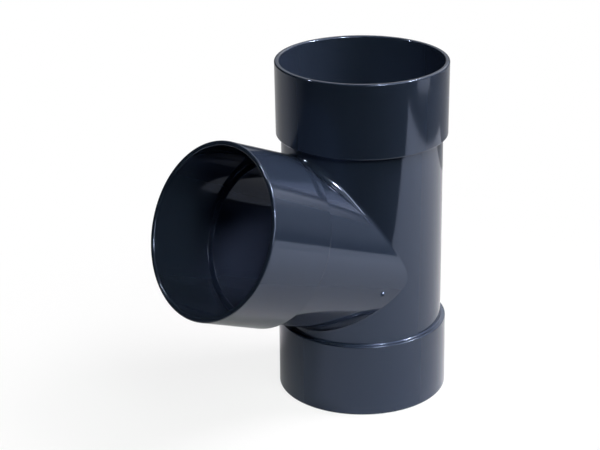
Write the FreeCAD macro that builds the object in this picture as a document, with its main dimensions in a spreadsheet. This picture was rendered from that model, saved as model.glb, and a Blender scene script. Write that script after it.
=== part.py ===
import FreeCAD, Part
import math
import os

import Sketcher

# Equal pipe tee with three plain sockets, moulded in one piece.
# The run stands along +Z, and the branch leaves it towards -Y and rises.
# The origin is the centre of the bottom socket's mouth.
# Lengths are in millimetres and angles in degrees.

SIZES = [
    ("pipe_diameter", 100.0, "outside of the pipe that the sockets take"),
    ("pipe_clearance", 0.4, "how much wider a socket is than the pipe"),
    ("socket_depth", 44.0, "from a mouth to the ledge that stops the pipe"),
    ("socket_wall", 3.0, "wall of a socket at its mouth"),
    ("socket_taper", 0.3, "how much a socket's outside narrows from mouth to shoulder"),
    ("stop_height", 3.2, "how far the ledge covers the end of the pipe"),
    ("stop_web", 2.5, "wall between the ledge and the shoulder behind it"),
    ("body_wall", 3.0, "wall of the body between the sockets"),
    ("branch_angle", 22.5, "rise of the branch above the horizontal"),
    ("branch_inset", 0.6, "how much smaller in radius the branch is than the run"),
    ("saddle_radius", 4.0, "blend outside, where the branch leaves the run"),
    ("top_land", 2.6, "plain wall between that blend and the top shoulder"),
    ("branch_land", 2.2, "plain wall between that blend and the branch shoulder"),
    ("bottom_land", 3.2, "plain wall between that blend and the bottom shoulder"),
    ("rim_bevel", 0.8, "broken edges of a mouth, inside and outside"),
    ("shoulder_bevel", 0.8, "broken outer edge of a shoulder"),
    ("shoulder_root", 0.8, "corner left full where a shoulder meets the body"),
    ("ledge_bevel", 0.6, "broken inner edge of a ledge"),
]

# Radii that follow from the sizes
SOCKET_BORE = "(dims.pipe_diameter + dims.pipe_clearance) / 2"
MOUTH_OUTSIDE = f"({SOCKET_BORE} + dims.socket_wall)"
SHOULDER_OUTSIDE = f"({MOUTH_OUTSIDE} - dims.socket_taper)"
RUN_BORE = "(dims.pipe_diameter / 2 - dims.stop_height)"
BRANCH_BORE = f"({RUN_BORE} - dims.branch_inset)"
RUN_OUTSIDE = f"({RUN_BORE} + dims.body_wall)"
BRANCH_OUTSIDE = f"({BRANCH_BORE} + dims.body_wall)"

# The branch's upper and lower lines meet the run's wall at the two crotches.
RISE = "(dims.branch_angle * 1deg)"
UPPER_BLEND = f"(dims.saddle_radius / tan((90deg - {RISE}) / 2))"
LOWER_BLEND = f"(dims.saddle_radius / tan((90deg + {RISE}) / 2))"
UPPER_CROTCH = f"({RUN_OUTSIDE} * tan({RISE}) + {BRANCH_OUTSIDE} / cos({RISE}))"
LOWER_CROTCH = f"({BRANCH_OUTSIDE} / cos({RISE}) - {RUN_OUTSIDE} * tan({RISE}))"
BRANCH_CROTCH = f"(({RUN_OUTSIDE} + {BRANCH_OUTSIDE} * sin({RISE})) / cos({RISE}))"

# Distances from the crossing of the two axes to the shoulders
TOP_SHOULDER = f"({UPPER_CROTCH} + {UPPER_BLEND} + dims.top_land)"
BRANCH_SHOULDER = f"({BRANCH_CROTCH} + {UPPER_BLEND} + dims.branch_land)"
BOTTOM_SHOULDER = f"({LOWER_CROTCH} + {LOWER_BLEND} + dims.bottom_land)"

# A socket reaches this far beyond its shoulder.
SOCKET_LENGTH = "(dims.socket_depth + dims.stop_web)"

# Heights on the run, and distances along the branch from the crossing
CROSSING_Z = f"({BOTTOM_SHOULDER} + {SOCKET_LENGTH})"
TOP_SHOULDER_Z = f"({CROSSING_Z} + {TOP_SHOULDER})"
TOP_MOUTH_Z = f"({TOP_SHOULDER_Z} + {SOCKET_LENGTH})"
TOP_LEDGE_Z = f"({TOP_MOUTH_Z} - dims.socket_depth)"
BRANCH_MOUTH = f"({BRANCH_SHOULDER} + {SOCKET_LENGTH})"
BRANCH_LEDGE = f"({BRANCH_MOUTH} - dims.socket_depth)"

FULL_TURN = 360
SAME = 1e-4
SAMPLES = 9

doc = FreeCAD.newDocument("pipe_tee")
dims = doc.addObject("Spreadsheet::Sheet", "dims")
for row, (alias, size, meaning) in enumerate(SIZES, start=1):
    dims.set(f"A{row}", alias)
    dims.set(f"B{row}", str(size))
    dims.setAlias(f"B{row}", alias)
    dims.set(f"C{row}", meaning)
doc.recompute()


def number(formula):
    """The value of a formula of the sheet's sizes."""
    value = dims.evalExpression(formula)
    return float(getattr(value, "Value", value))


def section(body, name, corners, along_branch=False):
    """A closed outline in the plane of symmetry, with each corner bound to two formulas.

    Corners are (from the axis, along the axis) on the run, and (along, from) on the branch.
    A corner given as 0 lies on the sketch's own axis.
    """
    plane = next(p for p in body.Origin.OriginFeatures if p.Role == "YZ_Plane")
    sketch = body.newObject("Sketcher::SketchObject", name)
    sketch.AttachmentSupport = [(plane, "")]
    sketch.MapMode = "FlatFace"
    if along_branch:
        turn = FreeCAD.Rotation(FreeCAD.Vector(0, 0, 1), 1)
        sketch.AttachmentOffset = FreeCAD.Placement(FreeCAD.Vector(), turn)
        sketch.setExpression(".AttachmentOffset.Base.y", f"{CROSSING_Z} * 1mm")
        sketch.setExpression(".AttachmentOffset.Rotation.Angle", f"180deg - {RISE}")
    places = [FreeCAD.Vector(number(x), number(y), 0) for x, y in corners]
    following = places[1:] + places[:1]
    lines = [Part.LineSegment(a, b) for a, b in zip(places, following)]
    sketch.addGeometry(lines, False)
    for index, corner in enumerate(corners):
        after = (index + 1) % len(corners)
        sketch.addConstraint(Sketcher.Constraint("Coincident", index, 2, after, 1))
        axes = (("DistanceX", -2, "across"), ("DistanceY", -1, "up"))
        for (kind, axis, word), formula, place in zip(axes, corner, places[index]):
            if formula == "0":
                sketch.addConstraint(Sketcher.Constraint("PointOnObject", index, 1, axis))
                continue
            made = sketch.addConstraint(Sketcher.Constraint(kind, -1, 1, index, 1, place))
            sketch.renameConstraint(made, f"{word}_{index}")
            sketch.setExpression(f"Constraints.{word}_{index}", formula)
    doc.recompute()
    return sketch


def turned(body, kind, name, sketch, axis):
    """A full turn of a section about one of its sketch's axes, added to the body or cut from it."""
    feature = body.newObject(kind, name)
    feature.Profile = sketch
    feature.ReferenceAxis = (sketch, [axis])
    feature.Angle = FULL_TURN
    doc.recompute()
    return feature


def worked_edges(body, kind, name, edges, size, alias):
    """Edges of the body's last feature, blended or bevelled to one of the sheet's sizes."""
    base = body.Tip
    feature = body.newObject(kind, name)
    feature.Base = (base, edges)
    feature.setExpression(size, f"dims.{alias}")
    doc.recompute()
    return feature


def bevelled(body, name, edges, alias):
    """Edges of the body's last feature, bevelled equally on both sides."""
    return worked_edges(body, "PartDesign::Chamfer", name, edges, "Size", alias)


def run_place(formula):
    """A point on the run's axis, at a height."""
    return FreeCAD.Vector(0, 0, number(formula))


def branch_place(formula):
    """A point on the branch's axis, at a distance from the crossing."""
    return run_place(CROSSING_Z) + branch_way * number(formula)


def rings(shape, places, radius):
    """Names of the circular edges of one radius that are centred on the places."""
    names = []
    for index, edge in enumerate(shape.Edges, start=1):
        if not isinstance(edge.Curve, Part.Circle):
            continue
        near = any(edge.Curve.Center.isEqual(place, SAME) for place in places)
        if near and abs(edge.Curve.Radius - number(radius)) < SAME:
            names.append(f"Edge{index}")
    return names


def off_axis(point, start, way):
    """Distance of a point from an axis."""
    return (point - start).cross(way).Length


def saddle(shape, run_radius, branch_radius):
    """Names of the edges that lie on a run cylinder and on a branch cylinder."""
    names = []
    crossing = run_place(CROSSING_Z)
    for index, edge in enumerate(shape.Edges, start=1):
        points = edge.discretize(SAMPLES)
        on_run = all(abs(off_axis(p, crossing, run_way) - number(run_radius)) < SAME for p in points)
        on_branch = all(
            abs(off_axis(p, crossing, branch_way) - number(branch_radius)) < SAME for p in points)
        if on_run and on_branch:
            names.append(f"Edge{index}")
    return names


rise = math.radians(number("dims.branch_angle"))
run_way = FreeCAD.Vector(0, 0, 1)
branch_way = FreeCAD.Vector(0, -math.cos(rise), math.sin(rise))

tee = doc.addObject("PartDesign::Body", "tee_body")
tee.Label = "tee_body"

# Outside of the run: a wide socket at each end and the narrower body between them
run_outline = section(tee, "run_outline", [
    ("0", "0"),
    (MOUTH_OUTSIDE, "0"),
    (SHOULDER_OUTSIDE, SOCKET_LENGTH),
    (RUN_OUTSIDE, SOCKET_LENGTH),
    (RUN_OUTSIDE, TOP_SHOULDER_Z),
    (SHOULDER_OUTSIDE, TOP_SHOULDER_Z),
    (MOUTH_OUTSIDE, TOP_MOUTH_Z),
    ("0", TOP_MOUTH_Z),
])
turned(tee, "PartDesign::Revolution", "run", run_outline, "V_Axis")

# Outside of the branch, from the crossing out to its mouth
branch_outline = section(tee, "branch_outline", [
    ("0", "0"),
    (BRANCH_MOUTH, "0"),
    (BRANCH_MOUTH, MOUTH_OUTSIDE),
    (BRANCH_SHOULDER, SHOULDER_OUTSIDE),
    (BRANCH_SHOULDER, BRANCH_OUTSIDE),
    ("0", BRANCH_OUTSIDE),
], along_branch=True)
turned(tee, "PartDesign::Revolution", "branch", branch_outline, "H_Axis")

# The blend round the foot of the branch. The branch is a little smaller than the run,
# so the blend runs all the way round and is only a thread at the two sides.
foot = saddle(tee.Shape, RUN_OUTSIDE, BRANCH_OUTSIDE)
worked_edges(tee, "PartDesign::Fillet", "saddle_blend", foot, "Radius", "saddle_radius")
solid_volume = tee.Shape.Volume

# The passage through the run, with the two sockets and their ledges
run_passage = section(tee, "run_passage", [
    ("0", "0"),
    (SOCKET_BORE, "0"),
    (SOCKET_BORE, "dims.socket_depth"),
    (RUN_BORE, "dims.socket_depth"),
    (RUN_BORE, TOP_LEDGE_Z),
    (SOCKET_BORE, TOP_LEDGE_Z),
    (SOCKET_BORE, TOP_MOUTH_Z),
    ("0", TOP_MOUTH_Z),
])
turned(tee, "PartDesign::Groove", "run_bore", run_passage, "V_Axis")
one_way_volume = tee.Shape.Volume

# The passage of the branch, from its mouth to the crossing
branch_passage = section(tee, "branch_passage", [
    ("0", "0"),
    (BRANCH_MOUTH, "0"),
    (BRANCH_MOUTH, SOCKET_BORE),
    (BRANCH_LEDGE, SOCKET_BORE),
    (BRANCH_LEDGE, BRANCH_BORE),
    ("0", BRANCH_BORE),
], along_branch=True)
turned(tee, "PartDesign::Groove", "branch_bore", branch_passage, "H_Axis")
open_volume = tee.Shape.Volume
if not solid_volume > one_way_volume > open_volume:
    raise RuntimeError("a passage has cut nothing out of the tee")

# Broken edges at the mouths, the shoulders and the ledges. Where the two passages meet,
# the edge stays sharp, because there one core of the mould butts against the other.
mouths = [run_place("0"), run_place(TOP_MOUTH_Z), branch_place(BRANCH_MOUTH)]
rims = rings(tee.Shape, mouths, MOUTH_OUTSIDE) + rings(tee.Shape, mouths, SOCKET_BORE)
bevelled(tee, "rims", rims, "rim_bevel")

shoulders = [run_place(SOCKET_LENGTH), run_place(TOP_SHOULDER_Z), branch_place(BRANCH_SHOULDER)]
bevelled(tee, "shoulder_edges", rings(tee.Shape, shoulders, SHOULDER_OUTSIDE), "shoulder_bevel")
roots = rings(tee.Shape, shoulders, RUN_OUTSIDE) + rings(tee.Shape, shoulders, BRANCH_OUTSIDE)
bevelled(tee, "shoulder_roots", roots, "shoulder_root")

run_ledges = [run_place("dims.socket_depth"), run_place(TOP_LEDGE_Z)]
branch_ledge = [branch_place(BRANCH_LEDGE)]
ledges = rings(tee.Shape, run_ledges, RUN_BORE) + rings(tee.Shape, branch_ledge, BRANCH_BORE)
bevelled(tee, "ledge_edges", ledges, "ledge_bevel")

doc.recompute()
for item in doc.Objects:
    if "Invalid" in item.State or "Error" in item.State:
        raise RuntimeError(f"{item.Label} could not be worked out")
if tee.Shape.isNull() or not tee.Shape.isValid() or len(tee.Shape.Solids) != 1:
    raise RuntimeError("the tee is not one sound solid")

os.makedirs("parts", exist_ok=True)
tee.Shape.exportStep(f"parts/{tee.Label}.step")

for word, formula in (("crossing", CROSSING_Z), ("height", TOP_MOUTH_Z), ("branch mouth", BRANCH_MOUTH)):
    print(f"{word}: {number(formula):.2f} mm")
print(f"volume: {tee.Shape.Volume / 1000:.1f} cubic centimetres")
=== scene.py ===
"""The looks of the pipe tee: one glossy moulded fitting, standing on its bottom socket.

Lengths are in metres and angles in radians. The run stands along +Z from the centre of the
bottom mouth, and the branch leaves it towards -Y and rises.
"""

import math

import bpy
import numpy as np
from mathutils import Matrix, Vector


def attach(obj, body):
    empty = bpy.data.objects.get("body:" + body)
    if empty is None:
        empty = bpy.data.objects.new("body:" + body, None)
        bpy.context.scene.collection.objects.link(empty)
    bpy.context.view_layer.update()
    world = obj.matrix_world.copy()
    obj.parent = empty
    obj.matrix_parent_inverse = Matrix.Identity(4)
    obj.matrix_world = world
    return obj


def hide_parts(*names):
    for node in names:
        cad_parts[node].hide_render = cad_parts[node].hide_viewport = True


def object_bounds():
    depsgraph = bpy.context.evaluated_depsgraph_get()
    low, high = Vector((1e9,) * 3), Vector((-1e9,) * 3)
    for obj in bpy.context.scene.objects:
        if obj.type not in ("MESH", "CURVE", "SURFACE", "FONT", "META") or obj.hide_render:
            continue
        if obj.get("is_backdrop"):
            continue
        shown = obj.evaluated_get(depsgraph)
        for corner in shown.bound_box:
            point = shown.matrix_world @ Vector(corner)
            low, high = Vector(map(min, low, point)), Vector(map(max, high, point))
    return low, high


bl_info = {
    "name": "Pipe Tee",
    "version": (1, 0, 0),
    "blender": (4, 5, 0),
    "location": "View3D > Sidebar > Pipe Tee",
    "description": "Builds a moulded pipe tee with three sockets and the studio that lights it",
    "category": "Add Mesh",
}

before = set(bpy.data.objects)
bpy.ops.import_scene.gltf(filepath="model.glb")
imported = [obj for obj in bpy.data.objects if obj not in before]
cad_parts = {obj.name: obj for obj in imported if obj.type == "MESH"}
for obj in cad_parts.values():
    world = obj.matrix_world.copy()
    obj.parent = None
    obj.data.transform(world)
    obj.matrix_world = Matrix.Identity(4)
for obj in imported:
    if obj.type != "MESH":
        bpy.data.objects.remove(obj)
CAD_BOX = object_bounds()
CAD_NODE = "tee_body"

MM = 0.001
PICTURE_WIDTH = 600
PICTURE_HEIGHT = 450
SENSOR_WIDTH = 36.0
CLIP_NEAR, CLIP_FAR = 0.05, 50

# Points nearer than this are one point. The shift keeps round coordinates off the cells' borders
WELD = 1e-6
WELD_SHIFT = 0.37
# Radius that turns an angle about an axis into a distance, for patterns that follow a wall
LAY_RADIUS = 50 * MM

# Steps round a full turn of the run, and up its side beside the branch
RUN_STEPS = 240
SIDE_STEPS = 40
# The run's wall is laid in rings about the branch as far as this angle from the branch's side
FRONT_REACH = math.radians(105)
# Where those rings turn their corners, as an angle about the branch's axis
CORNER_TURN = math.radians(30)
# Steps across each part of a wall: a ring, the saddle blend, the branch, an arc and a straight
RING_ROWS = 14
BLEND_ROWS = 8
PIPE_ROWS = 6
ROUND_ROWS = 6
WALL_ROWS = 4
GATE_STEPS = 10

# The noise that makes the duller patches, and the part of its range that counts
PATCH_DETAIL, PATCH_RANGE = 3, (0.35, 0.75)
# The same for drag marks, where only the noise's peaks count
STREAK_RANGE = (0.70, 0.85)
PLAIN_DETAIL = 1

# The table's outline, and the point above it that the lamps aim at
TABLE_CORNERS = ((0.610, 0.203), (0.124, 0.535), (-0.30, 0.30), (-0.38, -0.02), (-0.133, -0.346))
LAMP_AIM = (0, 0, 0.1)
SOFTBOX_SIZE = 1.1

# The table as it is looked at: how white it is beside the fitting, and from where to where that fades
SHADOW_WHITE = 0.84
SHADOW_REACH = (0.08, 0.34)
# The table as it is mirrored: how far it is lifted, and its painted pool of light, which stands in for the
# key lamp's light: from which level, how far off it is the most, and towards which side
MIRROR_LIFT = 0.35
PAINTED_POOL_LOW = 0.7
PAINTED_POOL_REACH = 0.5
PAINTED_POOL_AZIMUTH = math.radians(105)

# The room as it is mirrored. A facing says how far a direction has to point towards an azimuth, from
# where a part starts to where it is full: 1 is straight at it. Heights are sines of the elevation
WALL_AZIMUTH, WALL_FACING = math.radians(160), (-0.1, 0.5)
WALL_HEIGHTS = (-0.05, 0.12)
CORNER_AZIMUTH, CORNER_FACING, CORNER_GAIN = math.radians(210), (0.6, 0.95), 1.8
WINDOW_HEIGHTS = (0.28, 0.39)
PANE_AZIMUTH, PANE_FACING, PANE_GAIN = math.radians(190), (0.86, 0.91), 1.75
FLOOR_AZIMUTH, FLOOR_FACING = math.radians(220), (-0.3, 0.3)
FLOOR_HEIGHTS = (-0.10, -0.25)
AISLE_AZIMUTH, AISLE_FACING, AISLE_SHARE = math.radians(270), (-0.6, 0.4), 0.2

# Kinds of node that are used again and again
MATHS = "ShaderNodeMath"
VECTOR_MATHS = "ShaderNodeVectorMath"
MAP_RANGE = "ShaderNodeMapRange"
NOISE = "ShaderNodeTexNoise"


def linear(code):
    """The linear red, green and blue of an sRGB hex colour."""
    levels = np.array([int(code[i:i + 2], 16) for i in (1, 3, 5)]) / 255
    low = levels / 12.92
    high = ((levels + 0.055) / 1.055) ** 2.4
    return tuple(float(v) for v in np.where(levels <= 0.04045, low, high))


def length(name, default, description):
    """A length property in metres."""
    return bpy.props.FloatProperty(
        name=name, description=description, default=default, min=0, unit="LENGTH", precision=5)


def angle(name, degrees, description):
    """An angle, given here in degrees and kept in radians."""
    return bpy.props.FloatProperty(
        name=name, description=description, default=math.radians(degrees), subtype="ANGLE", unit="ROTATION")


class TeeSizes(bpy.types.PropertyGroup):
    """The sizes of the fitting, as the moulder states them"""

    pipe_diameter: length("Pipe diameter", 100.0 * MM, "Outside of the pipe that the sockets take")
    pipe_clearance: length("Pipe clearance", 0.4 * MM, "How much wider a socket is than the pipe")
    socket_depth: length("Socket depth", 44.0 * MM, "From a mouth to the ledge that stops the pipe")
    socket_wall: length("Socket wall", 3.0 * MM, "Wall of a socket at its mouth")
    socket_taper: length("Socket taper", 0.3 * MM, "How much a socket narrows to its shoulder")
    stop_height: length("Stop height", 3.2 * MM, "How far the ledge covers the pipe's end")
    stop_web: length("Stop web", 2.5 * MM, "Wall between the ledge and the shoulder behind it")
    body_wall: length("Body wall", 3.0 * MM, "Wall of the body between the sockets")
    branch_inset: length("Branch inset", 0.6 * MM, "How much smaller in radius the branch is")
    saddle_radius: length("Saddle radius", 4.0 * MM, "Blend where the branch leaves the run")
    top_land: length("Top land", 2.6 * MM, "Plain wall between the blend and the top shoulder")
    branch_land: length("Branch land", 2.2 * MM, "Plain wall between the blend and the branch shoulder")
    bottom_land: length("Bottom land", 3.2 * MM, "Plain wall between the blend and the bottom shoulder")
    rim_round: length("Rim round", 1.0 * MM, "Rounding of a mouth's edges")
    shoulder_round: length("Shoulder round", 0.9 * MM, "Rounding of a shoulder's outer edge")
    shoulder_root: length("Shoulder root", 0.9 * MM, "Hollow where a shoulder meets the body")
    ledge_round: length("Ledge round", 0.6 * MM, "Rounding of a ledge's inner edge")
    ledge_root: length("Ledge root", 0.3 * MM, "Hollow where a ledge meets the socket")
    branch_angle: angle("Branch angle", 22.5, "Rise of the branch above the horizontal")
    gate_turn: angle("Gate turn", -15, "Place of the gate mark about the branch, from +X upwards")
    gate_along: length("Gate along", 23.4 * MM, "Place of the gate mark along the branch from the crossing")
    gate_radius: length("Gate radius", 1.9 * MM, "Radius of the mark that the mould's gate leaves")
    gate_height: length("Gate height", 1.5 * MM, "How far the mark stands out")


def factor(name, default, description):
    """A plain number from 0 up."""
    return bpy.props.FloatProperty(name=name, description=description, default=default, min=0, precision=4)


def colour(name, code, description):
    """A colour, given here as an sRGB hex code and kept linear."""
    return bpy.props.FloatVectorProperty(
        name=name, description=description, default=linear(code), size=3, subtype="COLOR", min=0, max=1)


class TeeFinish(bpy.types.PropertyGroup):
    """The look of the moulded plastic"""

    body_colour: colour("Body colour", "#1E2532", "The plastic under plain light")
    mirror_tint: colour("Mirror tint", "#C8D9FF", "Colour of reflections seen straight on")
    mirror_index: factor("Refractive index", 1.57, "Unplasticised PVC with its pigment")
    roughness: factor("Roughness", 0.06, "The polish of the mould")
    roughness_spread: factor("Roughness spread", 0.04, "How much duller the dullest patches are")
    patch_size: length("Patch size", 9 * MM, "Width of the duller patches")
    wave_size: length("Wave size", 22 * MM, "Width of the waves that cooling leaves in a wall")
    wave_height: length("Wave height", 0.012 * MM, "Height of those waves")
    streak_width: length("Streak width", 1.2 * MM, "Width of a drag mark along a socket")
    streak_length: length("Streak length", 26 * MM, "Length of a drag mark")
    streak_height: length("Streak height", 0.006 * MM, "Height of a drag mark")


class TeeStudio(bpy.types.PropertyGroup):
    """The camera, the white table, the room that the fitting mirrors, and the lamps"""

    camera_azimuth: angle("Camera azimuth", 47.38, "From -Y towards +X")
    camera_elevation: angle("Camera elevation", 21.82, "Above the horizon")
    camera_distance: length("Camera distance", 1.0942, "From the camera to the middle of the run")
    camera_aim: length("Camera aim", 0.1069, "Height of the run's middle above the table")
    focal_pixels: factor("Focal length in pixels", 1747.2, "For a picture 600 pixels wide")
    middle_across: factor("Middle across", 362.06, "Column of the picture that holds the run's middle")
    middle_down: factor("Middle down", 223.42, "Row of the picture that holds the run's middle")
    table_colour: colour("Table colour", "#BEBEBE", "The matt white table")
    strip_azimuth: angle("Strip azimuth", 133, "The low light strip behind the table, from -Y towards +X")
    strip_distance: length("Strip distance", 0.9, "From the run to the strip")
    strip_width: length("Strip width", 0.36, "The strip's length along the horizon")
    strip_height: length("Strip height", 93 * MM, "From the strip's lower edge to its upper one")
    strip_top: length("Strip top", 18 * MM, "The upper edge above the table")
    strip_level: factor("Strip level", 1.4, "Radiance of that strip")
    panel_azimuth: angle("Panel azimuth", 84, "The long light panel at the right, from -Y towards +X")
    panel_elevation: angle("Panel elevation", 22.4, "That panel above the horizon")
    panel_width: length("Panel width", 3.5, "The panel's length along the horizon")
    panel_height: length("Panel height", 0.24, "From the panel's lower edge to its upper one")
    panel_level: factor("Panel level", 13, "Radiance of that panel")
    wall_level: factor("Wall level", 0.3, "Radiance of the wall behind the fitting, near the horizon")
    window_level: factor("Window level", 1.1, "How much brighter that wall is above a sill")
    floor_level: factor("Floor level", 0.5, "Radiance of the room's floor beyond the table")
    # Painted light: the mirrored table's emission rises to this level towards the key lamp's side, a pool of
    # light painted on, not cast by the lamp
    painted_pool_level: factor("Glow level", 2.7, "How bright the mirrored table gets under the key lamp")
    room_share: factor("Room share", 0.1, "How much of the room reaches matt surfaces past flags and stands")
    lamp_distance: length("Lamp distance", 3.0, "From the fitting to each lamp")
    key_azimuth: angle("Key azimuth", 141, "The key lamp, from -Y towards +X")
    key_elevation: angle("Key elevation", 50, "The key lamp above the horizon")
    key_light: factor("Key light", 1.95, "What a white card facing the key lamp sends back")
    key_colour: colour("Key colour", "#FFF8FC", "Colour of the key lamp")
    key_bulb: length("Key bulb", 0.45, "Across the lamp's bright middle, which only reflections show")
    front_azimuth: angle("Front azimuth", 77, "The lamp at the front right")
    front_elevation: angle("Front elevation", 42, "That lamp above the horizon")
    front_light: factor("Front light", 0.68, "What a white card facing it sends back")
    front_colour: colour("Front colour", "#F5FFF0", "Its colour")
    front_bulb: length("Front bulb", 0.45, "Across its bright middle")
    left_azimuth: angle("Left azimuth", -33, "The lamp at the left")
    left_elevation: angle("Left elevation", 39, "That lamp above the horizon")
    left_light: factor("Left light", 0.23, "What a white card facing it sends back")
    left_colour: colour("Left colour", "#FFFFFF", "Its colour")
    left_bulb: length("Left bulb", 0.17, "Across its bright middle")
    bulb_level: factor("Bulb level", 2000, "Radiance of those bright middles")


class TeeShape:
    """Places and radii that follow from the sizes."""

    def __init__(self, sizes):
        self.sizes = sizes
        self.rise = sizes.branch_angle
        self.bore = (sizes.pipe_diameter + sizes.pipe_clearance) / 2
        self.mouth = self.bore + sizes.socket_wall
        self.shoulder = self.mouth - sizes.socket_taper
        self.run_bore = sizes.pipe_diameter / 2 - sizes.stop_height
        self.branch_bore = self.run_bore - sizes.branch_inset
        self.run_wall = self.run_bore + sizes.body_wall
        self.branch_wall = self.branch_bore + sizes.body_wall
        cos, tan = math.cos(self.rise), math.tan(self.rise)
        upper_blend = sizes.saddle_radius / math.tan((math.pi / 2 - self.rise) / 2)
        lower_blend = sizes.saddle_radius / math.tan((math.pi / 2 + self.rise) / 2)
        upper_crotch = self.run_wall * tan + self.branch_wall / cos
        lower_crotch = self.branch_wall / cos - self.run_wall * tan
        branch_crotch = self.run_wall / cos + self.branch_wall * tan
        self.socket = sizes.socket_depth + sizes.stop_web
        self.bottom_shoulder = self.socket
        self.crossing = self.socket + lower_crotch + lower_blend + sizes.bottom_land
        self.top_shoulder = self.crossing + upper_crotch + upper_blend + sizes.top_land
        self.top_mouth = self.top_shoulder + self.socket
        self.branch_shoulder = branch_crotch + upper_blend + sizes.branch_land
        self.branch_mouth = self.branch_shoulder + self.socket


class Patches:
    """Grids of points with their own normals, joined into one closed mesh."""

    def __init__(self):
        self.points, self.normals, self.lay, self.faces, self.count = [], [], [], [], 0

    def add(self, points, normals, closed, axis):
        """Adds a grid (rows, columns, 3) as quads that face the way its normals point.

        A closed grid joins its last column to its first. The axis (start, way, across, up) is
        the one that the grid lies round, and gives each point its distance round and along it.
        """
        if closed:
            points = np.concatenate([points, points[:, :1]], axis=1)
            normals = np.concatenate([normals, normals[:, :1]], axis=1)
        rows, columns = points.shape[:2]
        index = np.arange(rows * columns).reshape(rows, columns)
        quads = np.stack([index[:-1, :-1], index[:-1, 1:], index[1:, 1:], index[1:, :-1]], -1)
        quads = quads.reshape(-1, 4)
        flat, aim = points.reshape(-1, 3), normals.reshape(-1, 3)
        corners = flat[quads]
        facing = np.cross(corners[:, 2] - corners[:, 0], corners[:, 3] - corners[:, 1])
        if np.sum(facing * aim[quads].mean(1)) < 0:
            quads = quads[:, ::-1]
        start, way, across, up = axis
        offset = points - start
        turn = np.unwrap(np.arctan2(offset @ up, offset @ across), axis=1)
        self.lay.append(np.stack([turn * LAY_RADIUS, offset @ way], -1).reshape(-1, 2))
        self.points.append(flat)
        self.normals.append(aim)
        self.faces.append(quads + self.count)
        self.count += len(flat)

    def mesh(self, name):
        """One mesh with the seams welded and each corner's normal as its grid gave it."""
        points = np.concatenate(self.points)
        normals = np.concatenate(self.normals)
        faces = np.concatenate(self.faces)
        cells = np.floor(points / WELD + WELD_SHIFT).astype(np.int64)
        _, first, weld = np.unique(cells, axis=0, return_index=True, return_inverse=True)
        welded = weld.reshape(-1)[faces]
        mesh = bpy.data.meshes.new(name)
        mesh.from_pydata(points[first].tolist(), [], welded.tolist())
        mesh.polygons.foreach_set("use_smooth", np.ones(len(faces), bool))
        layer = mesh.uv_layers.new(name="round_and_along")
        layer.data.foreach_set("uv", np.concatenate(self.lay)[faces.ravel()].astype(np.float32).ravel())
        mesh.update()
        mesh.normals_split_custom_set(normals[faces.ravel()].tolist())
        return mesh


def rounded(corners, radii):
    """A path through corners, each turned with an arc of its own radius, and its right-hand normals.

    The arc's centre lies off the corner by the radius, square to both lines. It touches each
    line at the radius times the tangent of half the turn. Straight stretches get a few steps.
    """
    corners = np.array(corners, float)
    ways = np.diff(corners, axis=0)
    ways /= np.linalg.norm(ways, axis=1)[:, None]
    points, normals = [corners[:1]], [np.array([[ways[0, 1], -ways[0, 0]]])]
    for corner, radius, before, after in zip(corners[1:-1], radii, ways[:-1], ways[1:]):
        turn = math.atan2(before[0] * after[1] - before[1] * after[0], before @ after)
        side = math.copysign(1, turn)
        right = np.array([before[1], -before[0]])
        start = corner - before * radius * math.tan(abs(turn) / 2)
        centre = start - right * side * radius
        angles = np.linspace(0, turn, ROUND_ROWS + 1)[:, None]
        aim = right * np.cos(angles) + before * np.sin(angles)
        points.append(centre + aim * side * radius)
        normals.append(aim)
    points.append(corners[-1:])
    normals.append(np.array([[ways[-1, 1], -ways[-1, 0]]]))
    path, aims = [points[0]], [normals[0]]
    for block, aim in zip(points[1:], normals[1:]):
        share = np.arange(1, WALL_ROWS)[:, None] / WALL_ROWS
        path += [path[-1][-1] + (block[0] - path[-1][-1]) * share, block]
        aims += [np.repeat(aim[:1], WALL_ROWS - 1, axis=0), aim]
    return np.concatenate(path), np.concatenate(aims)


def socket_outline(shape, bore, wall):
    """A socket's whole wall, from the ledge inside, round the mouth, to the body outside.

    Points are (from the axis, behind the mouth).
    """
    sizes = shape.sizes
    corners = [
        (bore, sizes.socket_depth + 2 * sizes.ledge_round),
        (bore, sizes.socket_depth),
        (shape.bore, sizes.socket_depth),
        (shape.bore, 0),
        (shape.mouth, 0),
        (shape.shoulder, shape.socket),
        (wall, shape.socket),
        (wall, shape.socket + 2 * sizes.shoulder_root),
    ]
    radii = [sizes.ledge_round, sizes.ledge_root, sizes.rim_round, sizes.rim_round,
             sizes.shoulder_round, sizes.shoulder_root]
    return rounded(corners, radii)


def turned(outline, aims, ring, start, way):
    """An outline carried round an axis: start + way * along + ring * radius, for each ring direction."""
    radius, along = outline[:, 0, None, None], outline[:, 1, None, None]
    out, back = aims[:, 0, None, None], aims[:, 1, None, None]
    return start + way * along + ring * radius, ring * out + way * back


def run_ring(angles):
    """Directions out from the run's axis. Angle 0 points along -Y and a right angle along +X."""
    return np.stack([np.sin(angles), -np.cos(angles), np.zeros_like(angles)], -1)


def branch_ways(shape):
    """The branch's own axes: out along it, and square to it and upwards."""
    cos, sin = math.cos(shape.rise), math.sin(shape.rise)
    return np.array([0, -cos, sin]), np.array([0, sin, cos])


def run_axis():
    """The run's axis, and the directions at angle 0 and a right angle about it."""
    return np.zeros(3), np.array([0, 0, 1.0]), np.array([0, -1.0, 0]), np.array([1.0, 0, 0])


def branch_axis(shape):
    """The branch's axis from the crossing, and the directions at angle 0 and a right angle about it."""
    out, up = branch_ways(shape)
    return np.array([0, 0, shape.crossing]), out, np.array([1.0, 0, 0]), up


def branch_ring(shape, angles):
    """Directions out from the branch's axis. Angle 0 points along +X and a right angle upwards."""
    _, up = branch_ways(shape)
    return np.cos(angles)[..., None] * np.array([1.0, 0, 0]) + np.sin(angles)[..., None] * up


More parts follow.
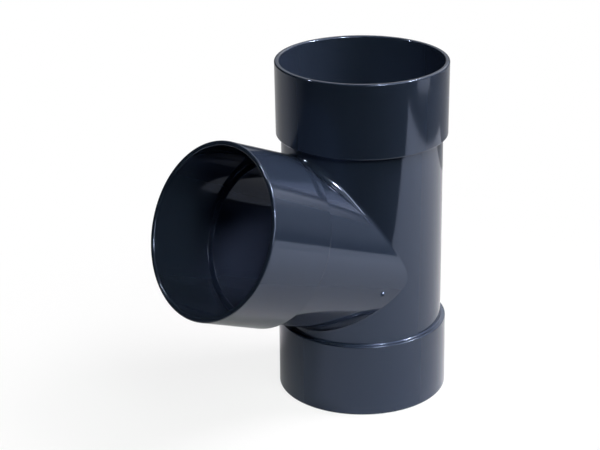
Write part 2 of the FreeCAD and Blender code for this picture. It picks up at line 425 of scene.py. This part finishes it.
def meeting(shape, angles, run_radius, branch_radius):
    """Where a cylinder about the run meets one about the branch, for angles about the branch.

    A point of the branch at distance s from the crossing has y = r sin(angle) sin(rise) - s cos(rise),
    and lies on the run where x squared plus y squared is the run's radius squared.
    """
    depth = np.sqrt(run_radius ** 2 - (branch_radius * np.cos(angles)) ** 2)
    along = branch_radius * np.sin(angles) * math.sin(shape.rise) + depth
    along = along / math.cos(shape.rise)
    out, _ = branch_ways(shape)
    crossing = np.array([0, 0, shape.crossing])
    return crossing + along[..., None] * out + branch_radius * branch_ring(shape, angles)


def front_edges(low, high):
    """The border of the run's front field, bottom, right, top and left, and the angles about the branch.

    Returns angles about the run, heights and angles about the branch, one for each column.
    """
    front_steps = round(RUN_STEPS * FRONT_REACH / math.pi)
    across = np.linspace(-FRONT_REACH, FRONT_REACH, front_steps + 1)
    rising = np.linspace(low, high, SIDE_STEPS + 1)
    around = np.concatenate([across[:-1], np.full(SIDE_STEPS, FRONT_REACH),
                             across[:0:-1], np.full(SIDE_STEPS, -FRONT_REACH)])
    height = np.concatenate([np.full(front_steps, low), rising[:-1],
                             np.full(front_steps, high), rising[:0:-1]])
    turns = np.array([CORNER_TURN - math.pi, -CORNER_TURN, CORNER_TURN, math.pi - CORNER_TURN,
                      math.pi + CORNER_TURN])
    steps = [front_steps, SIDE_STEPS, front_steps, SIDE_STEPS]
    stretches = [np.linspace(a, b, n, endpoint=False) for a, b, n in zip(turns[:-1], turns[1:], steps)]
    return around, height, np.concatenate(stretches)


def run_field(patches, edge, radius, low, high, facing):
    """The run's wall between two heights, round an opening whose edge is given.

    In front, each column runs straight from the border to the opening's edge, in angle and
    height. Behind, the wall is a plain grid. Facing is 1 outside and -1 in the bore.
    """
    around, height, _ = front_edges(low, high)
    edge_around = np.arctan2(edge[:, 0], -edge[:, 1])
    share = np.linspace(0, 1, RING_ROWS + 1)[:, None]
    angles = around + (edge_around - around) * share
    heights = height + (edge[:, 2] - height) * share
    ring = run_ring(angles)
    points = ring * radius + heights[..., None] * np.array([0, 0, 1.0])
    points[-1] = edge
    patches.add(points, ring * facing, True, run_axis())
    back_steps = RUN_STEPS - round(RUN_STEPS * FRONT_REACH / math.pi)
    angles = np.linspace(FRONT_REACH, 2 * math.pi - FRONT_REACH, back_steps + 1)
    ring = np.broadcast_to(run_ring(angles), (SIDE_STEPS + 1, back_steps + 1, 3))
    rising = np.linspace(low, high, SIDE_STEPS + 1)[:, None, None] * np.array([0, 0, 1.0])
    patches.add(ring * radius + rising, ring * facing, False, run_axis())


def straight_wall(patches, shape, start, end, angles, facing):
    """The branch's plain wall, from one ring of points straight along the axis to another."""
    share = np.linspace(0, 1, PIPE_ROWS + 1)[:, None, None]
    points = start + (end - start) * share
    normals = np.broadcast_to(branch_ring(shape, angles) * facing, points.shape)
    patches.add(points, normals, True, branch_axis(shape))


def outside(patches, shape, angles):
    """The body's outside: the run, the saddle blend and the branch.

    A ball of the blend's radius rolls along both walls, so its centre lies where the two
    cylinders, each larger by that radius, meet. It touches each wall straight in from there,
    and the blend is the arc about the ball's centre between the two touching points.
    """
    sizes = shape.sizes
    ball = sizes.saddle_radius
    centre = meeting(shape, angles, shape.run_wall + ball, shape.branch_wall + ball)
    from_run = centre * np.array([1, 1, 0])
    from_run /= np.linalg.norm(from_run, axis=1)[:, None]
    from_branch = branch_ring(shape, angles)
    on_run = centre - from_run * ball
    low = shape.bottom_shoulder + 2 * sizes.shoulder_root
    high = shape.top_shoulder - 2 * sizes.shoulder_root
    run_field(patches, on_run, shape.run_wall, low, high, 1)
    spread = np.arccos(np.clip(np.sum(from_run * from_branch, axis=1), -1, 1))[:, None]
    share = np.linspace(0, 1, BLEND_ROWS + 1)[:, None, None]
    aim = (np.sin((1 - share) * spread) * from_run + np.sin(share * spread) * from_branch)
    aim = aim / np.sin(spread)
    patches.add(centre - aim * ball, aim, True, branch_axis(shape))
    out, _ = branch_ways(shape)
    end = np.array([0, 0, shape.crossing]) + out * (shape.branch_shoulder - 2 * sizes.shoulder_root)
    end = end + from_branch * shape.branch_wall
    straight_wall(patches, shape, centre - from_branch * ball, end, angles, 1)


def passage(patches, shape, angles):
    """The inside between the ledges, where the two bores meet in a sharp edge."""
    sizes = shape.sizes
    behind = sizes.socket_depth + 2 * sizes.ledge_round
    edge = meeting(shape, angles, shape.run_bore, shape.branch_bore)
    run_field(patches, edge, shape.run_bore, behind, shape.top_mouth - behind, -1)
    out, _ = branch_ways(shape)
    end = np.array([0, 0, shape.crossing]) + out * (shape.branch_mouth - behind)
    end = end + branch_ring(shape, angles) * shape.branch_bore
    straight_wall(patches, shape, edge, end, angles, -1)


def gate_mark(patches, shape):
    """The small dome left where the plastic was let into the mould, on the branch's side.

    A square grid is bent to a disk: x = u sqrt(1 - v v / 2) and y = v sqrt(1 - u u / 2). Its height
    falls off with the square of the distance from the middle. A second, sunk dome closes it.
    """
    sizes = shape.sizes
    out, _ = branch_ways(shape)
    turn = np.array(sizes.gate_turn)
    outward = branch_ring(shape, turn)
    side = np.cross(out, outward)
    middle = np.array([0, 0, shape.crossing]) + out * sizes.gate_along + outward * shape.branch_wall
    share = np.linspace(-1, 1, GATE_STEPS + 1)
    u, v = np.meshgrid(share, share)
    x, y = u * np.sqrt(1 - v * v / 2), v * np.sqrt(1 - u * u / 2)
    rise = 1 - x * x - y * y
    slope = 2 * sizes.gate_height / sizes.gate_radius
    for way in (1, -1):
        points = middle + (x[..., None] * side + y[..., None] * out) * sizes.gate_radius
        points = points + outward * rise[..., None] * sizes.gate_height * way
        aim = outward * way + (x[..., None] * side + y[..., None] * out) * slope
        aim = aim / np.linalg.norm(aim, axis=-1)[..., None]
        patches.add(points, aim, False, branch_axis(shape))


def tee_mesh(shape):
    """The whole fitting: three turned sockets, the body outside and the passages inside."""
    patches = Patches()
    _, _, angles = front_edges(0, 1)
    around = run_ring(np.linspace(-math.pi, math.pi, RUN_STEPS, endpoint=False))
    up = np.array([0, 0, 1.0])
    out, _ = branch_ways(shape)
    run_socket = socket_outline(shape, shape.run_bore, shape.run_wall)
    branch_socket = socket_outline(shape, shape.branch_bore, shape.branch_wall)
    patches.add(*turned(*run_socket, around, np.zeros(3), up), True, run_axis())
    patches.add(*turned(*run_socket, around, up * shape.top_mouth, -up), True, run_axis())
    mouth = up * shape.crossing + out * shape.branch_mouth
    patches.add(*turned(*branch_socket, branch_ring(shape, angles), mouth, -out), True, branch_axis(shape))
    outside(patches, shape, angles)
    passage(patches, shape, angles)
    gate_mark(patches, shape)
    return patches.mesh("pipe_tee")


def put_node(tree, kind, settings=(), links=()):
    """Adds a node, sets its attributes or inputs by name or number, and links its inputs.

    What an input is linked to is an output, or a node, which stands for its first output.
    """
    node = tree.nodes.new(kind)
    for name, value in dict(settings).items():
        if isinstance(name, str) and hasattr(node, name):
            setattr(node, name, value)
        else:
            node.inputs[name].default_value = value
    for name, source in dict(links).items():
        output = source.outputs[0] if isinstance(source, bpy.types.Node) else source
        tree.links.new(output, node.inputs[name])
    return node


def blank_material(name):
    """An empty node material and its tree."""
    material = bpy.data.materials.new(name)
    material.use_nodes = True
    material.node_tree.nodes.clear()
    return material, material.node_tree


def span(source, target=(0.0, 1.0)):
    """The settings that map one range of values onto another."""
    return {"From Min": source[0], "From Max": source[1], "To Min": target[0], "To Max": target[1]}


def heading(azimuth):
    """The level direction at an azimuth: 0 is towards -Y and a right angle towards +X."""
    return math.sin(azimuth), -math.cos(azimuth), 0


def moulded_pvc(finish):
    """Unplasticised PVC, injection moulded in a polished tool: dark slate, with sharp reflections.

    Three things keep it from looking drawn: duller patches that widen a reflection's edge here
    and there, low waves that bend straight reflections, and a few drag marks along each bore.
    """
    material, tree = blank_material("moulded_upvc_slate")
    place = put_node(tree, "ShaderNodeTexCoord")
    patches = put_node(tree, NOISE, {"Scale": 1 / finish.patch_size, "Detail": PATCH_DETAIL},
                       {"Vector": place.outputs["Object"]})
    dullest = finish.roughness + finish.roughness_spread
    roughness = put_node(tree, MAP_RANGE, span(PATCH_RANGE, (finish.roughness, dullest)), {"Value": patches})
    waves = put_node(tree, NOISE, {"Scale": 1 / finish.wave_size, "Detail": PLAIN_DETAIL},
                     {"Vector": place.outputs["Object"]})
    wavy = put_node(tree, "ShaderNodeBump", {"Strength": 1, "Distance": finish.wave_height},
                    {"Height": waves})
    squeeze = put_node(tree, "ShaderNodeMapping", {
        "Scale": (1 / finish.streak_width, 1 / finish.streak_length, 1)}, {"Vector": place.outputs["UV"]})
    streaks = put_node(tree, NOISE, {"Scale": 1, "Detail": PLAIN_DETAIL}, {"Vector": squeeze})
    marks = put_node(tree, MAP_RANGE, span(STREAK_RANGE), {"Value": streaks})
    marked = put_node(tree, "ShaderNodeBump", {"Strength": 1, "Distance": finish.streak_height},
                      {"Height": marks, "Normal": wavy})
    shader = put_node(tree, "ShaderNodeBsdfPrincipled", {
        "Base Color": (*finish.body_colour, 1), "IOR": finish.mirror_index,
        "Specular Tint": (*finish.mirror_tint, 1)}, {"Roughness": roughness, "Normal": marked})
    put_node(tree, "ShaderNodeOutputMaterial", links={"Surface": shader})
    return material


class PIPETEE_OT_fitting(bpy.types.Operator):
    """Build the tee as one closed moulding"""

    bl_idname = "pipe_tee.fitting"
    bl_label = "Moulded Tee"
    bl_options = {"REGISTER", "UNDO"}

    def execute(self, context):
        mesh = tee_mesh(TeeShape(context.scene.pipe_tee_sizes))
        mesh.materials.append(moulded_pvc(context.scene.pipe_tee_finish))
        tee = bpy.data.objects.new("moulded_tee", mesh)
        context.scene.collection.objects.link(tee)
        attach(tee, "root")
        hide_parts(CAD_NODE)
        return {"FINISHED"}


def point(azimuth, elevation, distance, centre):
    """A place seen from the centre, at an azimuth, an elevation and a distance."""
    level = Vector(heading(azimuth)) * math.cos(elevation)
    return centre + (level + Vector((0, 0, math.sin(elevation)))) * distance


def facing(tree, direction, azimuth, reach, levels=(0.0, 1.0)):
    """A level that changes as a direction or a place lies further towards an azimuth."""
    along = put_node(tree, VECTOR_MATHS, {"operation": "DOT_PRODUCT", 1: heading(azimuth)}, {0: direction})
    return put_node(tree, MAP_RANGE, span(reach, levels), {"Value": along.outputs["Value"]})


def white_table(studio):
    """Painted card, matt white, which gives the eye a plain ground with a faint soft shadow.

    Where it is looked at, it is lifted towards pure white: fully away from the fitting, and by
    most beside it, so that the shadow stays. Where it is mirrored it is lifted less, and carries a
    painted pool of light that is brighter towards the side under the key lamp, not cast by that lamp.
    """
    material, tree = blank_material("matt_white_card")
    place = put_node(tree, "ShaderNodeTexCoord").outputs["Object"]
    path = put_node(tree, "ShaderNodeLightPath").outputs
    flat = put_node(tree, VECTOR_MATHS, {"operation": "LENGTH"}, {0: place})
    fade = {"interpolation_type": "SMOOTHSTEP"} | span(SHADOW_REACH, (SHADOW_WHITE, 1.0))
    away = put_node(tree, MAP_RANGE, fade, {"Value": flat.outputs["Value"]})
    seen = put_node(tree, MATHS, {"operation": "MAXIMUM"},
                    {0: path["Is Camera Ray"], 1: path["Is Transmission Ray"]})
    seen_lift = put_node(tree, MATHS, {"operation": "MULTIPLY"}, {0: seen, 1: away})
    mirror_lift = put_node(tree, MATHS, {"operation": "MULTIPLY", 1: MIRROR_LIFT}, {0: path["Is Glossy Ray"]})
    lift = put_node(tree, MATHS, {"operation": "MAXIMUM"}, {0: seen_lift, 1: mirror_lift})
    # Painted light: an emission pool on the table, seen only in reflections, that grows towards the key
    # lamp's side
    painted_pool = facing(tree, place, PAINTED_POOL_AZIMUTH, (0.0, PAINTED_POOL_REACH), (PAINTED_POOL_LOW, studio.painted_pool_level))
    level = put_node(tree, "ShaderNodeMix", {"data_type": "FLOAT", "B": 1.0}, {"Factor": seen, "A": painted_pool})
    white = put_node(tree, "ShaderNodeEmission", {"Color": (1, 1, 1, 1)}, {"Strength": level})
    card = put_node(tree, "ShaderNodeBsdfDiffuse", {"Color": (*studio.table_colour, 1)})
    surface = put_node(tree, "ShaderNodeMixShader", links={0: lift, 1: card, 2: white})
    put_node(tree, "ShaderNodeOutputMaterial", links={"Surface": surface})
    return material


def studio_world(studio):
    """A white room, plain white where it is looked at.

    Mirrored, it has a wall behind the fitting that fades towards the horizon, is brighter in its
    left corner and has a window above. Below it lies a dim floor on the side away from the
    camera. Behind the camera it is dark.
    """
    world = bpy.data.worlds.new("white_room")
    world.use_nodes = True
    tree = world.node_tree
    tree.nodes.clear()
    direction = put_node(tree, "ShaderNodeTexCoord").outputs["Generated"]
    height = put_node(tree, "ShaderNodeSeparateXYZ", links={"Vector": direction}).outputs["Z"]
    path = put_node(tree, "ShaderNodeLightPath").outputs
    times = {"operation": "MULTIPLY"}

    corner = facing(tree, direction, CORNER_AZIMUTH, CORNER_FACING,
                    (studio.wall_level, CORNER_GAIN * studio.wall_level))
    low = put_node(tree, MAP_RANGE, span(WALL_HEIGHTS), {"Value": height})
    low = put_node(tree, MATHS, times, {0: low, 1: corner})
    pane = facing(tree, direction, PANE_AZIMUTH, PANE_FACING, (1.0, PANE_GAIN))
    high = put_node(tree, MAP_RANGE, span(WINDOW_HEIGHTS, (0.0, studio.window_level)), {"Value": height})
    high = put_node(tree, MATHS, times, {0: high, 1: pane})
    wall = put_node(tree, MATHS, {"operation": "ADD"}, {0: low, 1: high})
    wall = put_node(tree, MATHS, times, {0: facing(tree, direction, WALL_AZIMUTH, WALL_FACING), 1: wall})

    aisle = facing(tree, direction, AISLE_AZIMUTH, AISLE_FACING,
                   (AISLE_SHARE * studio.floor_level, studio.floor_level))
    floor = put_node(tree, MATHS, times, {0: facing(tree, direction, FLOOR_AZIMUTH, FLOOR_FACING), 1: aisle})
    below = put_node(tree, MAP_RANGE, span(FLOOR_HEIGHTS), {"Value": height})
    floor = put_node(tree, MATHS, times, {0: floor, 1: below})

    level = put_node(tree, MATHS, {"operation": "MAXIMUM"}, {0: wall, 1: floor})
    share = put_node(tree, MAP_RANGE, span((0.0, 1.0), (1.0, studio.room_share)),
                     {"Value": path["Is Diffuse Ray"]})
    level = put_node(tree, MATHS, times, {0: level, 1: share})
    room = put_node(tree, "ShaderNodeBackground", {"Color": (1, 1, 1, 1)}, {"Strength": level})
    white = put_node(tree, "ShaderNodeBackground", {"Color": (1, 1, 1, 1), "Strength": 1.0})
    seen = put_node(tree, MATHS, {"operation": "MAXIMUM"},
                    {0: path["Is Camera Ray"], 1: path["Is Transmission Ray"]})
    surface = put_node(tree, "ShaderNodeMixShader", links={0: seen, 1: room, 2: white})
    put_node(tree, "ShaderNodeOutputWorld", links={"Surface": surface})
    return world


def area_light(name, place, aim, size, height, level):
    """An area light of the given radiance: a rectangle, or a disk where the height is None.

    A flat light of radiance L and area A sends out pi L A.
    """
    data = bpy.data.lights.new(name, "AREA")
    data.size = size
    if height is None:
        data.shape = "DISK"
        area = math.pi * size ** 2 / 4
    else:
        data.shape = "RECTANGLE"
        data.size_y = height
        area = size * height
    data.energy = math.pi * area * level
    made = bpy.data.objects.new(name, data)
    made.location = place
    made.rotation_euler = (aim - place).to_track_quat("-Z", "Y").to_euler()
    bpy.context.scene.collection.objects.link(made)
    return made


def mirrored_lights(studio):
    """Two lights that only reflections show: a low strip behind the table, and a long panel at the right.

    The panel shows on the branch, where the branch mirrors the run and the run mirrors the panel.
    """
    low = Vector((0, 0, studio.strip_top - studio.strip_height / 2))
    place = point(studio.strip_azimuth, 0, studio.strip_distance, low)
    strip = area_light("far_strip", place, low, studio.strip_width, studio.strip_height, studio.strip_level)
    middle = Vector(LAMP_AIM)
    place = point(studio.panel_azimuth, studio.panel_elevation, studio.lamp_distance, middle)
    panel = area_light("side_panel", place, middle,
                       studio.panel_width, studio.panel_height, studio.panel_level)
    for light in (strip, panel):
        light.visible_camera = False
        light.visible_diffuse = False


def lamp(studio, name):
    """A softbox that lights matt surfaces, with a bright bulb in its middle for the highlights.

    A lamp of radiance L and area A at distance d makes a white card that faces it send back
    L A / (pi d squared), so the softbox's radiance follows from the light wanted.
    """
    azimuth, elevation, light, tint, bulb_size = (
        getattr(studio, f"{name}_{what}") for what in ("azimuth", "elevation", "light", "colour", "bulb"))
    centre = Vector(LAMP_AIM)
    place = point(azimuth, elevation, studio.lamp_distance, centre)
    level = light * (2 * studio.lamp_distance / SOFTBOX_SIZE) ** 2
    soft = area_light(name + "_softbox", place, centre, SOFTBOX_SIZE, None, level)
    soft.visible_glossy = False
    soft.data.color = tint
    bulb = area_light(name + "_bulb", place, centre, bulb_size, None, studio.bulb_level)
    bulb.visible_diffuse = False


def place_camera(scene, studio):
    """The camera of the photograph. It aims at the run's middle, shifted to its place in the picture."""
    target = Vector((0, 0, studio.camera_aim))
    data = bpy.data.cameras.new("camera")
    data.sensor_width = SENSOR_WIDTH
    data.lens = studio.focal_pixels * SENSOR_WIDTH / PICTURE_WIDTH
    data.shift_x = (PICTURE_WIDTH / 2 - studio.middle_across) / PICTURE_WIDTH
    data.shift_y = (studio.middle_down - PICTURE_HEIGHT / 2) / PICTURE_WIDTH
    data.clip_start, data.clip_end = CLIP_NEAR, CLIP_FAR
    camera = bpy.data.objects.new("camera", data)
    camera.location = point(studio.camera_azimuth, studio.camera_elevation, studio.camera_distance, target)
    camera.rotation_euler = (target - camera.location).to_track_quat("-Z", "Y").to_euler()
    scene.collection.objects.link(camera)
    scene.camera = camera


class PIPETEE_OT_studio(bpy.types.Operator):
    """Set up the white table, the room, the lamps and the camera"""

    bl_idname = "pipe_tee.studio"
    bl_label = "Studio"
    bl_options = {"REGISTER", "UNDO"}

    def execute(self, context):
        scene = context.scene
        studio = scene.pipe_tee_studio
        scene.view_settings.view_transform = "Standard"
        place_camera(scene, studio)
        scene.world = studio_world(studio)

        mesh = bpy.data.meshes.new("white_table")
        mesh.from_pydata([(x, y, 0) for x, y in TABLE_CORNERS], [], [tuple(range(len(TABLE_CORNERS)))])
        mesh.materials.append(white_table(studio))
        floor = bpy.data.objects.new("white_table", mesh)
        scene.collection.objects.link(floor)
        floor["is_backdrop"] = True

        mirrored_lights(studio)
        for name in ("left", "front", "key"):
            lamp(studio, name)
        return {"FINISHED"}


class PIPETEE_PT_panel(bpy.types.Panel):
    """Lists the tee's sizes and its operators"""

    bl_idname = "PIPETEE_PT_panel"
    bl_label = "Pipe Tee"
    bl_space_type = "VIEW_3D"
    bl_region_type = "UI"
    bl_category = "Pipe Tee"

    def draw(self, context):
        layout = self.layout
        scene = context.scene
        for group in (scene.pipe_tee_sizes, scene.pipe_tee_finish, scene.pipe_tee_studio):
            box = layout.box()
            for name in type(group).__annotations__:
                box.prop(group, name)
        layout.operator(PIPETEE_OT_fitting.bl_idname)
        layout.operator(PIPETEE_OT_studio.bl_idname)


CLASSES = (TeeSizes, TeeFinish, TeeStudio, PIPETEE_OT_fitting, PIPETEE_OT_studio, PIPETEE_PT_panel)


def register():
    """Registers the classes and hangs the sizes on the scene."""
    for item in CLASSES:
        bpy.utils.register_class(item)
    bpy.types.Scene.pipe_tee_sizes = bpy.props.PointerProperty(type=TeeSizes)
    bpy.types.Scene.pipe_tee_finish = bpy.props.PointerProperty(type=TeeFinish)
    bpy.types.Scene.pipe_tee_studio = bpy.props.PointerProperty(type=TeeStudio)


def unregister():
    """Takes the sizes off the scene and the classes out again."""
    del bpy.types.Scene.pipe_tee_studio
    del bpy.types.Scene.pipe_tee_finish
    del bpy.types.Scene.pipe_tee_sizes
    for item in reversed(CLASSES):
        bpy.utils.unregister_class(item)


def main():
    """Builds the tee and its studio."""
    register()
    bpy.ops.pipe_tee.fitting()
    bpy.ops.pipe_tee.studio()
    bpy.context.view_layer.update()
    boxes = {"cad": CAD_BOX, "visual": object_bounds()}
    {name: [list(corner) for corner in box] for name, box in boxes.items()}


if __name__ == "__main__":
    main()
